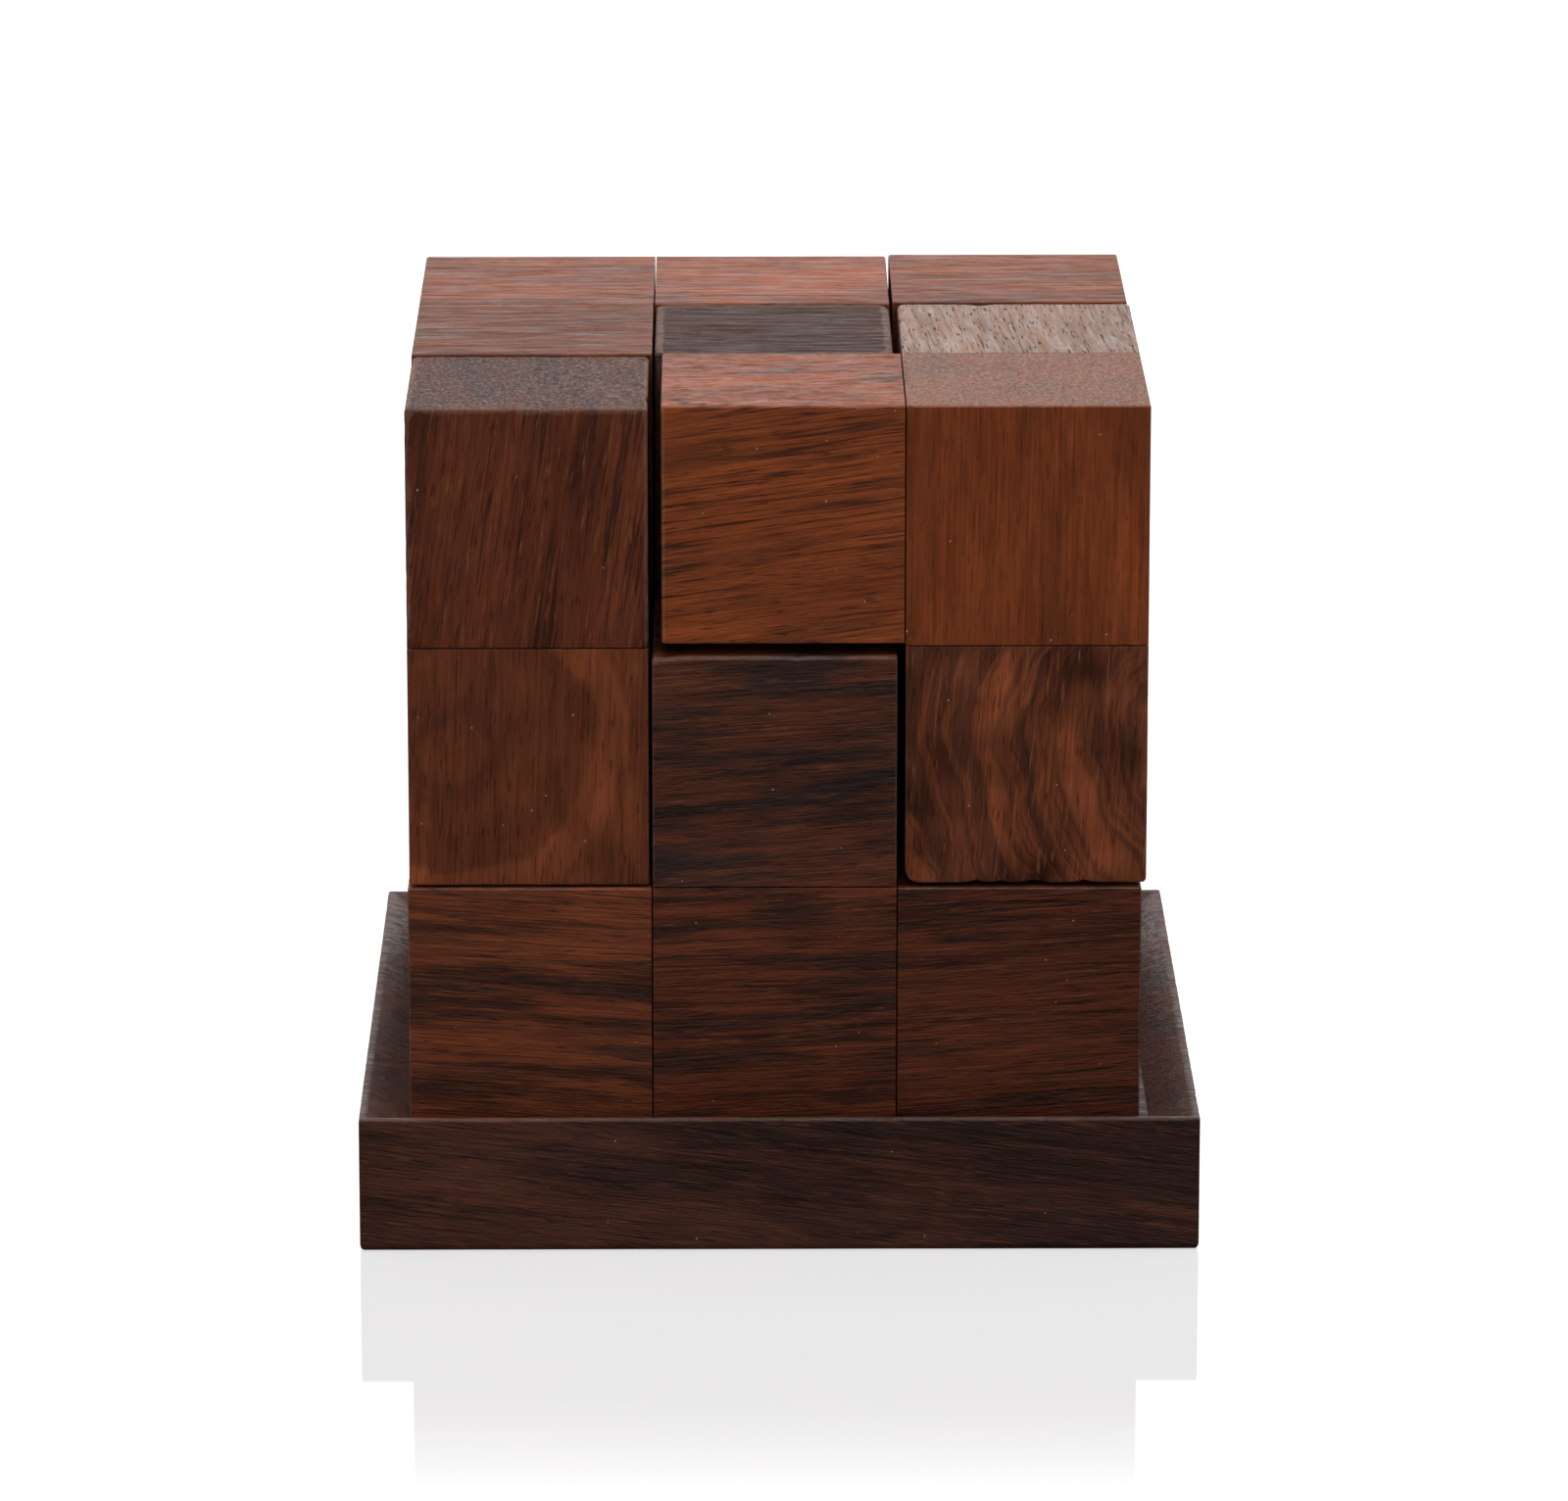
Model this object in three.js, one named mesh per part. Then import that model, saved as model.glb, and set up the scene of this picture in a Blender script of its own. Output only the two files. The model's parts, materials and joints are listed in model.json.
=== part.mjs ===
// A cube assembly puzzle: seven pieces of glued rosewood blocks, packed three by three by
// three, standing in the shallow bevelled recess of a square rosewood tray.
// Millimetres, +Z up, the front towards -Y. The origin is the centre of the tray's underside.
import * as THREE from "three";

// ---- Driving dimensions ----
const BLOCK = 25.0; // edge of one unit block as sawn
const GLUE_LINE = 0.1; // glue between two blocks of one piece
const EDGE_BREAK = 0.3; // flat sanded on every edge of a block
const BLOCKS_ALONG = 3; // unit blocks along one edge of the packed cube

const RECESS_CLEARANCE = 0.4; // floor of the recess that shows beyond the cube, each side
const RECESS_DEPTH = 1.9; // rim down to the floor of the recess
const RECESS_BEVEL = 4.3; // width of the slope between rim and floor, in plan
const RIM_LAND = 0.7; // flat top of the rim, with its worn outer edge
const RIM_WEAR = 0.25; // worn outer edge of the rim
const TRAY_HEIGHT = 14.2; // underside to rim
const FOOT_CHAMFER = 0.65; // chamfer round the underside
const SEAT = 0.05; // a piece's underside above the floor of the recess
const SLOPE_GAP = 0.05; // the pieces pushed left in the tray stop short of its slope

// ---- Sizes that follow ----
const CUBE_SIDE = BLOCKS_ALONG * BLOCK + (BLOCKS_ALONG - 1) * GLUE_LINE;
const RECESS_HALF = CUBE_SIDE / 2 + RECESS_CLEARANCE;
const TRAY_HALF = RECESS_HALF + RECESS_BEVEL + RIM_LAND;
const PUSHED_LEFT = RECESS_CLEARANCE + SLOPE_GAP;
const RECESS_FLOOR = TRAY_HEIGHT - RECESS_DEPTH;

// ---- Finishes: colour of the oiled wood, by the board a block was cut from ----
const FINISHES = {
  tray_wood: 0x33201b,
  dark_wood: 0x3b221b,
  red_wood: 0x4d261b,
  golden_wood: 0x744022,
};

// ---- Pieces ----
// A block is its name, its place in the cube (column from the left, row from the front, layer
// from the bottom), its finish and, where it was planed, what was taken off its top or bottom.
// shift is how far the whole piece lies off the cube's grid: right, back and up.
// sanded is what its maker took off every block of the piece, across, deep and high.
const PIECES = [
  {
    name: "lower_twist", shift: [-PUSHED_LEFT, 0.1, 0], sanded: [0.1, 0.1, 0.1],
    blocks: [
      ["raised", [0, 2, 1], "red_wood"],
      ["corner", [0, 2, 0], "dark_wood"],
      ["middle", [0, 1, 0], "dark_wood"],
      ["centre", [1, 1, 0], "red_wood"],
    ],
  },
  {
    name: "tee", shift: [-PUSHED_LEFT, -0.36, 0], sanded: [0.1, 0.1, 0.15],
    blocks: [
      ["left", [0, 0, 0], "golden_wood"],
      ["middle", [1, 0, 0], "red_wood"],
      ["right", [2, 0, 0], "red_wood"],
      ["stem", [1, 0, 1], "dark_wood", { top: 0.6 }],
    ],
  },
  {
    name: "ell", shift: [-0.2, 0.17, 0], sanded: [0.1, 0.1, 0],
    blocks: [
      ["top", [2, 2, 2], "red_wood"],
      ["middle", [2, 2, 1], "red_wood"],
      ["corner", [2, 2, 0], "dark_wood"],
      ["foot", [1, 2, 0], "dark_wood"],
    ],
  },
  {
    name: "zigzag", shift: [-0.37, 0.18, 0], sanded: [0.25, 0.3, 0.08],
    blocks: [
      ["top", [1, 1, 2], "dark_wood"],
      ["upper_middle", [1, 1, 1], "dark_wood"],
      ["lower_middle", [2, 1, 1], "dark_wood"],
      ["bottom", [2, 1, 0], "red_wood"],
    ],
  },
  {
    name: "short_corner", shift: [-0.88, 0.03, 0.12], sanded: [0.5, 0.1, 0.15],
    blocks: [
      ["upright", [0, 0, 2], "red_wood"],
      ["elbow", [0, 0, 1], "golden_wood"],
      ["foot", [0, 1, 1], "dark_wood"],
    ],
  },
  {
    name: "upper_twist", shift: [-0.39, 0.1, 0.15], sanded: [0.1, 0.1, 0.1],
    blocks: [
      ["corner", [0, 2, 2], "golden_wood"],
      ["middle", [1, 2, 2], "golden_wood"],
      ["front", [0, 1, 2], "red_wood"],
      ["drop", [1, 2, 1], "red_wood"],
    ],
  },
  {
    name: "tripod", shift: [0.41, 0.12, 0.2], sanded: [0.35, 0.1, 0.1],
    blocks: [
      ["centre", [2, 0, 2], "golden_wood"],
      ["side_arm", [1, 0, 2], "golden_wood", { bottom: 0.2 }],
      ["back_arm", [2, 1, 2], "golden_wood"],
      ["leg", [2, 0, 1], "golden_wood"],
    ],
  },
];

function wood(finish) {
  return new THREE.MeshStandardMaterial({ color: FINISHES[finish], roughness: 0.42, metalness: 0 });
}

// A box centred on the origin with a small flat on each of its edges.
function blockGeometry(width, depth, height) {
  const x = width / 2;
  const y = depth / 2;
  const e = EDGE_BREAK;
  const outline = new THREE.Shape([
    new THREE.Vector2(-x + e, -y),
    new THREE.Vector2(x - e, -y),
    new THREE.Vector2(x, -y + e),
    new THREE.Vector2(x, y - e),
    new THREE.Vector2(x - e, y),
    new THREE.Vector2(-x + e, y),
    new THREE.Vector2(-x, y - e),
    new THREE.Vector2(-x, -y + e),
  ]);
  const geometry = new THREE.ExtrudeGeometry(outline, {
    depth: height - 2 * e,
    bevelEnabled: true,
    bevelSegments: 1,
    bevelThickness: e,
    bevelSize: e,
    bevelOffset: -e,
  });
  return geometry.translate(0, 0, e - height / 2);
}

// One unit block in its place in the packed cube.
function makeBlock(piece, [name, place, finish, planed = {}]) {
  const { top = 0, bottom = 0 } = planed;
  const [width, depth, height] = piece.sanded.map((taken) => BLOCK - taken);
  const middle = (BLOCKS_ALONG - 1) / 2;
  const block = new THREE.Mesh(blockGeometry(width, depth, height - top - bottom), wood(finish));
  block.name = `${piece.name}_${name}`;
  block.position.set(
    (place[0] - middle) * (width + GLUE_LINE),
    (place[1] - middle) * (depth + GLUE_LINE),
    place[2] * (height + GLUE_LINE) + height / 2 + (bottom - top) / 2,
  );
  return block;
}

// The blocks of one piece, glued to each other and shifted off the grid together.
function makePiece(piece) {
  const group = new THREE.Group();
  group.name = piece.name;
  const [right, back, up] = piece.shift;
  group.position.set(right, back, RECESS_FLOOR + SEAT + up);
  group.add(...piece.blocks.map((block) => makeBlock(piece, block)));
  return group;
}

// The tray is one board. Its section is turned round the upright axis in four flat steps,
// so that each step is one side and the slopes of the recess meet in mitres.
function makeTray() {
  const section = [
    [0, 0],
    [TRAY_HALF - FOOT_CHAMFER, 0],
    [TRAY_HALF, FOOT_CHAMFER],
    [TRAY_HALF, TRAY_HEIGHT - RIM_WEAR],
    [TRAY_HALF - RIM_WEAR, TRAY_HEIGHT],
    [TRAY_HALF - RIM_LAND, TRAY_HEIGHT],
    [RECESS_HALF, RECESS_FLOOR],
    [0, RECESS_FLOOR],
  ];
  const corner = section.map(([half, z]) => new THREE.Vector2(half * Math.SQRT2, z));
  const sides = 4;
  const geometry = new THREE.LatheGeometry(corner, sides);
  geometry.rotateX(Math.PI / 2);
  geometry.rotateZ(Math.PI / sides);
  const tray = new THREE.Mesh(geometry, wood("tray_wood"));
  tray.name = "tray";
  return tray;
}

const puzzle = new THREE.Group();
puzzle.name = "cube_puzzle";
puzzle.add(makeTray(), ...PIECES.map(makePiece));

export default puzzle;
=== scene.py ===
import json
import math

import bpy
from bpy.props import FloatProperty, FloatVectorProperty, IntProperty, PointerProperty
from mathutils import Euler, Matrix, Vector


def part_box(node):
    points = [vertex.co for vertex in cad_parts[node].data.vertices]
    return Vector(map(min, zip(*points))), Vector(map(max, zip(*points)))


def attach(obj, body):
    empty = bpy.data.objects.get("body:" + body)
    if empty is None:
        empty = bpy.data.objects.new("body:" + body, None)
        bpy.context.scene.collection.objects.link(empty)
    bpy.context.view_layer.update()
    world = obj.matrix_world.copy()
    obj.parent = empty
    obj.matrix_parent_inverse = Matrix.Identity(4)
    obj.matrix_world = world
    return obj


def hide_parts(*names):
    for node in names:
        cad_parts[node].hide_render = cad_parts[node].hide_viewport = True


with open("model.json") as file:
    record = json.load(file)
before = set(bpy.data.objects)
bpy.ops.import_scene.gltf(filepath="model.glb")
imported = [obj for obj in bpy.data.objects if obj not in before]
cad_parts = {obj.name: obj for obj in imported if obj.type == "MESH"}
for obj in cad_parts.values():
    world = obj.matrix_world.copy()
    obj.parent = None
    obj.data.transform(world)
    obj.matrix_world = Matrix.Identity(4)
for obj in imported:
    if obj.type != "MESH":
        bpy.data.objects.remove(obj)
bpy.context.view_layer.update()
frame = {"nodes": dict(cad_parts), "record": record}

bl_info = {
    "name": "Wooden cube puzzle",
    "version": (1, 0, 0),
    "blender": (4, 5, 0),
    "location": "3D Viewport > Sidebar > Puzzle",
    "description": "Seven glued rosewood pieces that build a cube on a bevelled tray",
    "category": "Object",
}

MM = 0.001
EDGE_WEAR = "edge_wear"
SHARP = math.radians(20)
SMOOTH = math.radians(35)
ALONG_AXIS = 0.95  # share of an edge's length that runs along the axis it is cut on
FLAT = 0.97  # of a vertex normal: more than this along one axis, and the vertex is on a flat face
UPWARD = 0.9  # of a face normal: more than this upwards, and the face is the top
RIM_SLACK = 0.01 * MM  # how far below the top an edge may lie and still belong to the rim
FLAT_FACE_WEIGHT = 60  # how much the large faces count in the shading of the rounded edges
# pale grey on the end grain: partly sanding dust, partly painted sheen where the end grain catches the
# light
END_DUST_AND_SHEEN = (0.30, 0.24, 0.20, 1.0)
FLECK = (0.19, 0.062, 0.02, 1.0)
SIDES = {
    "left": (0, -1), "right": (0, 1),
    "front": (1, -1), "back": (1, 1),
    "bottom": (2, -1), "top": (2, 1),
}

# How each unit block was cut from its board. Angles are in degrees and lengths in millimetres.
# A block's row holds only what differs from PLAIN_BOARD.
#   wood      which of the woods it is cut from
#   tone      how light this block is beside its wood; end_tone, the same for its end grain
#   tilt      how far the grain rises towards the right; 90 stands it upright
#   turn      how far the grain is turned towards the back
#   figure    tilt and turn of the stripes, where they don't follow the fibres
#   pith      where the heart of the tree was, across the grain, from the middle of the block
#   spacing   from one dark stripe to the next
#   share     share of the wood that is dark
#   stripes, lines   strength of the broad stripes and of the thin lines
#   wander    how far the figure strays from straight
#   flecks, pores, patches   strength of bright flecks, open pores and cloudy patches
#   glow, glow_radius, glow_width   a bright ring round the pith
#   gloss     how strongly the surface shines, 0.5 as a rule
#   end_dust_and_sheen  pale grey on the end grain: partly sanding dust caught in it, partly painted
#   sheen
#   wear      how pale its open edges are rubbed, 1 as a rule
#   wear_reach   how far in from its edge a face is rubbed as well
PLAIN_BOARD = {
    "wood": "red", "tone": 1.0, "end_tone": 0.7, "tilt": 0.0, "turn": 0.0, "pith": (-45.0, -45.0),
    "spacing": 3.2, "share": 0.45, "stripes": 0.7, "lines": 0.6, "wander": 3.0,
    "flecks": 0.35, "pores": 0.6, "patches": 0.35, "glow": 0.0, "glow_radius": 10.0,
    "glow_width": 2.0, "gloss": 0.5, "end_dust_and_sheen": 0.1, "wear": 1.0, "wear_reach": 0.0,
}
BOARDS = {
    "tray": {
        "wood": "tray", "tone": 0.9, "tilt": -7.0, "pith": (-30.0, -60.0), "spacing": 3.6,
        "share": 0.48, "lines": 0.7, "wander": 5.0, "pores": 0.5,
    },
    "short_corner_upright": {
        "tone": 0.7, "end_tone": 0.5, "end_dust_and_sheen": 0.0, "wear": 1.1, "wear_reach": 0.5,
        "tilt": 82.0, "pith": (10.0, -60.0), "spacing": 2.8, "share": 0.42, "stripes": 0.6,
        "lines": 0.8, "wander": 2.0, "flecks": 0.9,
    },
    "short_corner_elbow": {
        "wood": "brown", "tone": 0.55, "tilt": 88.0, "figure": (0.0, 90.0), "pith": (8.0, 2.8),
        "spacing": 6.0, "share": 0.46, "stripes": 0.3, "lines": 0.1, "pores": 0.6, "wander": 7.0,
        "glow": 0.8, "glow_radius": 16.4, "glow_width": 2.1,
    },
    "short_corner_foot": {"wood": "dark", "turn": 90.0},
    "tripod_centre": {
        "wood": "golden", "tone": 0.75, "end_tone": 0.95, "end_dust_and_sheen": 0.46, "tilt": 89.0,
        "pith": (0.0, -60.0), "spacing": 4.5, "share": 0.42, "stripes": 0.35, "lines": 0.15,
        "wander": 1.5, "flecks": 0.3, "pores": 0.4,
    },
    "tripod_side_arm": {
        "wood": "golden", "tone": 0.95, "tilt": 8.0, "pith": (-30.0, -60.0), "spacing": 2.6,
        "share": 0.42, "stripes": 0.6, "lines": 1.0, "wander": 3.0,
    },
    "tripod_back_arm": {
        "wood": "pale", "tone": 0.9, "wear": 1.2, "wear_reach": 0.6, "turn": 94.0,
        "pith": (-60.0, 0.0), "spacing": 4.0, "share": 0.4, "stripes": 0.5, "lines": 0.3,
        "pores": 1.0,
    },
    "tripod_leg": {
        "wood": "brown", "tone": 0.75, "tilt": 86.0, "figure": (0.0, 90.0), "pith": (-21.0, 2.0),
        "spacing": 2.4, "share": 0.48, "stripes": 0.72, "lines": 0.5, "wander": 8.0, "flecks": 1.0,
        "patches": 0.9,
    },
    "tee_left": {
        "wood": "brown", "tone": 0.68, "tilt": -4.0, "pith": (-30.0, 60.0), "spacing": 2.6,
        "share": 0.48, "stripes": 0.95, "lines": 0.8,
    },
    "tee_middle": {
        "tone": 0.62, "tilt": 3.0, "pith": (-30.0, 60.0), "spacing": 2.8, "share": 0.47,
        "stripes": 0.9, "lines": 0.8,
    },
    "tee_right": {
        "tone": 0.54, "tilt": 4.0, "pith": (-20.0, 60.0), "spacing": 2.4, "share": 0.45,
        "stripes": 0.5, "lines": 0.9,
    },
    "tee_stem": {
        "wood": "dark", "tone": 0.87, "tilt": 4.0, "pith": (-10.0, 60.0), "spacing": 3.6,
        "share": 0.47, "stripes": 0.9, "lines": 0.7,
    },
    "upper_twist_corner": {
        "wood": "golden", "tone": 0.9, "pith": (-60.0, 10.0), "spacing": 3.4, "share": 0.45,
        "lines": 0.8,
    },
    "upper_twist_middle": {
        "wood": "golden", "tone": 1.02, "gloss": 0.55, "pith": (-10.0, 60.0), "stripes": 0.4,
    },
    "upper_twist_front": {
        "wood": "golden", "tone": 0.56, "gloss": 0.38, "pith": (-60.0, 10.0), "spacing": 4.0,
        "share": 0.42, "lines": 0.8,
    },
    "upper_twist_drop": {"tilt": 90.0},
    "ell_top": {
        "wood": "golden", "tone": 0.78, "pith": (-50.0, 20.0), "spacing": 4.0, "share": 0.45,
        "lines": 0.7,
    },
    "ell_middle": {"tilt": 90.0},
    "ell_corner": {"wood": "dark"},
    "ell_foot": {"wood": "dark", "turn": 90.0},
    "zigzag_top": {
        "wood": "dark", "tone": 0.4, "pith": (-10.0, 60.0), "stripes": 0.4, "lines": 0.3,
        "flecks": 0.0, "gloss": 0.15, "wear": 1.8, "wear_reach": 0.75,
    },
    "zigzag_upper_middle": {"wood": "dark"},
    "zigzag_lower_middle": {"wood": "dark", "turn": 90.0},
    "zigzag_bottom": {"tilt": 5.0},
    "lower_twist_raised": {"tilt": 86.0},
    "lower_twist_corner": {"wood": "dark", "turn": 88.0},
    "lower_twist_middle": {"wood": "dark"},
    "lower_twist_centre": {"turn": 90.0},
}

SLOT_OF_WOOD = {
    "golden": "golden_wood", "brown": "golden_wood", "pale": "golden_wood",
    "red": "red_wood", "dark": "dark_wood", "tray": "tray_wood",
}

# Edges that years of handling rounded more than the rest: radius in millimetres.
SOFTENED_EDGES = {
    "tripod_leg": {("left", "bottom"): 1.4, ("right", "bottom"): 0.45},
    "tripod_back_arm": {
        ("left", "back"): 1.3, ("right", "back"): 1.6, ("left", "top"): 0.5, ("back", "top"): 0.45,
    },
    "zigzag_top": {
        ("left", "back"): 1.2, ("right", "back"): 1.3, ("right", "front"): 1.1,
        ("left", "front"): 0.9, ("left", "top"): 0.5, ("right", "top"): 0.5, ("back", "top"): 0.5,
        ("front", "top"): 0.45,
    },
    "short_corner_upright": {
        ("right", "top"): 0.6, ("front", "right"): 0.45, ("left", "top"): 0.4,
        ("back", "top"): 0.4,
    },
    "tripod_side_arm": {("left", "front"): 0.45},
    "tee_stem": {("front", "top"): 0.45, ("left", "top"): 0.4},
}

# Small chips knocked out of open edges: the edge, then in millimetres the way along it from its
# left, front or lower end, the depth and the reach.
CHIPS = {
    "tripod_side_arm": ((("front", "top"), 20.0, 0.35, 1.5), (("front", "top"), 6.5, 0.15, 1.2)),
    "tripod_leg": (
        (("front", "bottom"), 7.4, 0.3, 1.3), (("front", "bottom"), 10.0, 0.25, 1.2),
        (("front", "bottom"), 13.5, 0.35, 1.5), (("front", "bottom"), 18.7, 0.3, 1.3),
    ),
    "tee_stem": ((("front", "top"), 1.0, 0.3, 2.0), (("front", "top"), 15.0, 0.2, 1.3)),
    "short_corner_upright": ((("right", "top"), 6.0, 0.25, 1.6), (("front", "top"), 14.0, 0.15, 1.3)),
    "zigzag_top": ((("left", "front"), 24.0, 0.4, 1.8), (("right", "back"), 24.0, 0.35, 1.8)),
    "tripod_back_arm": ((("back", "top"), 9.0, 0.3, 1.6), (("left", "top"), 17.0, 0.25, 1.4)),
}


def board_of(node):
    """Everything that is set for the wood of one block or of the tray."""
    return dict(PLAIN_BOARD, **BOARDS.get(node, {}))


def side_place(low, high, side):
    """Where a side of a box lies: its axis and the value along it."""
    axis, way = SIDES[side]
    return axis, (high if way > 0 else low)[axis]


def touching_sides(name, siblings, reach):
    """The sides of a block that are glued to another block of the same piece."""
    low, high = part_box(name)
    middle = (low + high) / 2
    found = set()
    for other in siblings:
        if other == name:
            continue
        other_low, other_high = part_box(other)
        for side, (axis, way) in SIDES.items():
            mine = (high if way > 0 else low)[axis]
            theirs = (other_low if way > 0 else other_high)[axis]
            beside = all(
                other_low[a] < middle[a] < other_high[a] for a in range(3) if a != axis
            )
            if beside and abs(theirs - mine) < reach:
                found.add(side)
    return found


# ---------------- shapes


def pick_nothing():
    """Leaves no object selected."""
    bpy.ops.object.select_all(action="DESELECT")


def pick(piece):
    """Selects one piece only and makes it the active one."""
    pick_nothing()
    piece.select_set(True)
    bpy.context.view_layer.objects.active = piece


def add_cuboid(name, low, high):
    """A cube primitive at its size and place, with its place in its mesh."""
    pick_nothing()
    bpy.ops.mesh.primitive_cube_add(size=1.0, location=(low + high) / 2, scale=high - low)
    cuboid = bpy.context.object
    cuboid.name = name
    cuboid.data.name = name
    bpy.ops.object.transform_apply(location=True, rotation=True, scale=True)
    return cuboid


def apply_modifier(piece, kind, **settings):
    """Adds a modifier with these settings and applies it."""
    modifier = piece.modifiers.new(kind.title(), kind)
    for key, value in settings.items():
        setattr(modifier, key, value)
    bpy.context.view_layer.objects.active = piece
    bpy.ops.object.modifier_apply(modifier=modifier.name)


def on_side(point, low, high, side, slack=1e-5):
    """Whether a point lies on a side of a box."""
    axis, place = side_place(low, high, side)
    return abs(point[axis] - place) < slack


def fold_angles(mesh):
    """How sharply the two faces at each edge meet, in the order of the mesh's edges."""
    normals = {}
    for face in mesh.polygons:
        for key in face.edge_keys:
            normals.setdefault(key, []).append(face.normal)
    return [normals[edge.key][0].angle(normals[edge.key][1]) for edge in mesh.edges]


def round_edges(piece, low, high, radius_of, segments):
    """Rounds the sharp edges of a piece, each to the radius radius_of gives for its sides and ends."""
    mesh = piece.data
    radii = []
    for edge, angle in zip(mesh.edges, fold_angles(mesh)):
        ends = [mesh.vertices[v].co for v in edge.vertices]
        sides = [s for s in SIDES if all(on_side(p, low, high, s) for p in ends)]
        radii.append(radius_of(sides, ends) if angle > SHARP else 0.0)
    widest = max(radii)
    if widest == 0.0:
        return
    weights = mesh.attributes.get("bevel_weight_edge") or mesh.attributes.new(
        "bevel_weight_edge", "FLOAT", "EDGE")
    weights.data.foreach_set("value", [radius / widest for radius in radii])
    apply_modifier(piece, "BEVEL", width=widest, segments=segments, limit_method="WEIGHT",
                   use_clamp_overlap=False)


def cut_grid(piece, cuts, shortest):
    """Cuts the long edges along each axis in turn, so that every face becomes a fine grid."""
    bpy.context.tool_settings.mesh_select_mode = (False, True, False)
    for axis in range(3):
        bpy.ops.object.mode_set(mode="EDIT")
        bpy.ops.mesh.select_all(action="DESELECT")
        bpy.ops.object.mode_set(mode="OBJECT")
        for edge in piece.data.edges:
            ends = [piece.data.vertices[v].co for v in edge.vertices]
            run = ends[1] - ends[0]
            edge.select = run.length > shortest and abs(run[axis]) > ALONG_AXIS * run.length
        bpy.ops.object.mode_set(mode="EDIT")
        bpy.ops.mesh.subdivide(number_cuts=cuts)
        bpy.ops.object.mode_set(mode="OBJECT")


def mark_edge_wear(piece, is_worn):
    """Stores how worn each vertex is: 1 where is_worn says so, 0 elsewhere."""
    worn = [1.0 if is_worn(vertex) else 0.0 for vertex in piece.data.vertices]
    attribute = piece.data.attributes.new(EDGE_WEAR, "FLOAT", "POINT")
    attribute.data.foreach_set("value", worn)
    group = piece.vertex_groups.new(name=EDGE_WEAR)
    group.add([i for i, value in enumerate(worn) if value > 0.5], 1.0, "REPLACE")


def nearest_sides(point, low, high):
    """The sides of a box with their distances from a point, the nearest first."""
    gaps = []
    for side in SIDES:
        axis, place = side_place(low, high, side)
        gaps.append((abs(point[axis] - place), side))
    return sorted(gaps)


def clouds(name, size, contrast, brightness):
    """A noise that wears a shape. Its size is in metres."""
    noise = bpy.data.textures.new(name, "CLOUDS")
    noise.noise_scale = size
    noise.noise_depth = 2
    noise.contrast = contrast
    noise.use_clamp = True
    noise.intensity = brightness


def wear_down(piece, settings):
    """Dents what is worn a little and lets the faces undulate, always inwards."""
    for name, depth, group in (("edge_dents", settings.dent_depth, EDGE_WEAR),
                               ("face_waves", settings.wave_depth, "")):
        apply_modifier(piece, "DISPLACE", texture=bpy.data.textures[name], texture_coords="LOCAL",
                       mid_level=0.0, strength=-depth, vertex_group=group)


def finish_surface(piece):
    """Smooth shading that keeps the flat faces flat."""
    pick(piece)
    bpy.ops.object.shade_smooth_by_angle(angle=SMOOTH)
    apply_modifier(piece, "WEIGHTED_NORMAL", mode="FACE_AREA", weight=FLAT_FACE_WEIGHT,
                   keep_sharp=False)


def knock_chip(piece, low, high, sides, along, depth, reach):
    """Knocks a small chip out of the edge between two sides."""
    spot = low.copy()
    inward = Vector()
    for side in sides:
        axis, place = side_place(low, high, side)
        spot[axis] = place
        inward[axis] = -SIDES[side][1]
    free = next(axis for axis in range(3) if inward[axis] == 0.0)
    spot[free] += along * MM
    pick(piece)
    bpy.context.tool_settings.mesh_select_mode = (True, False, False)
    bpy.ops.object.mode_set(mode="EDIT")
    bpy.ops.mesh.select_all(action="DESELECT")
    bpy.ops.object.mode_set(mode="OBJECT")
    nearest = min(piece.data.vertices, key=lambda vertex: (vertex.co - spot).length)
    nearest.select = True
    bpy.ops.object.mode_set(mode="EDIT")
    bpy.ops.transform.translate(
        value=inward.normalized() * depth * MM, use_proportional_edit=True,
        proportional_edit_falloff="SMOOTH", proportional_size=reach * MM
    )
    bpy.ops.object.mode_set(mode="OBJECT")


def make_block(node, siblings, settings):
    """One unit block: cut, rounded at its open edges, tight at the glue, and worn."""
    low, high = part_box(node)
    wear_reach = board_of(node)["wear_reach"] * MM
    glued = touching_sides(node, siblings, settings.glue_reach)
    softened = {frozenset(pair): r * MM for pair, r in SOFTENED_EDGES.get(node, {}).items()}

    def softened_radius(sides, ends):
        return softened.get(frozenset(sides), 0.0)

    def common_radius(sides, ends):
        return settings.glued_edge if glued & set(sides) else settings.open_edge

    def is_worn(vertex):
        on_a_face = max(abs(part) for part in vertex.normal) > FLAT
        nearest, next_nearest = nearest_sides(vertex.co, low, high)[:2]
        rubbed = not on_a_face or next_nearest[0] < wear_reach
        return rubbed and not glued & {nearest[1], next_nearest[1]}

    block = add_cuboid("block_" + node, low, high)
    round_edges(block, low, high, softened_radius, settings.softened_segments)
    round_edges(block, low, high, common_radius, settings.edge_segments)
    cut_grid(block, settings.cuts, settings.longest_left)
    mark_edge_wear(block, is_worn)
    for sides, along, depth, reach in CHIPS.get(node, ()):
        knock_chip(block, low, high, sides, along, depth, reach)
    wear_down(block, settings)
    finish_surface(block)
    return block


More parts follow.
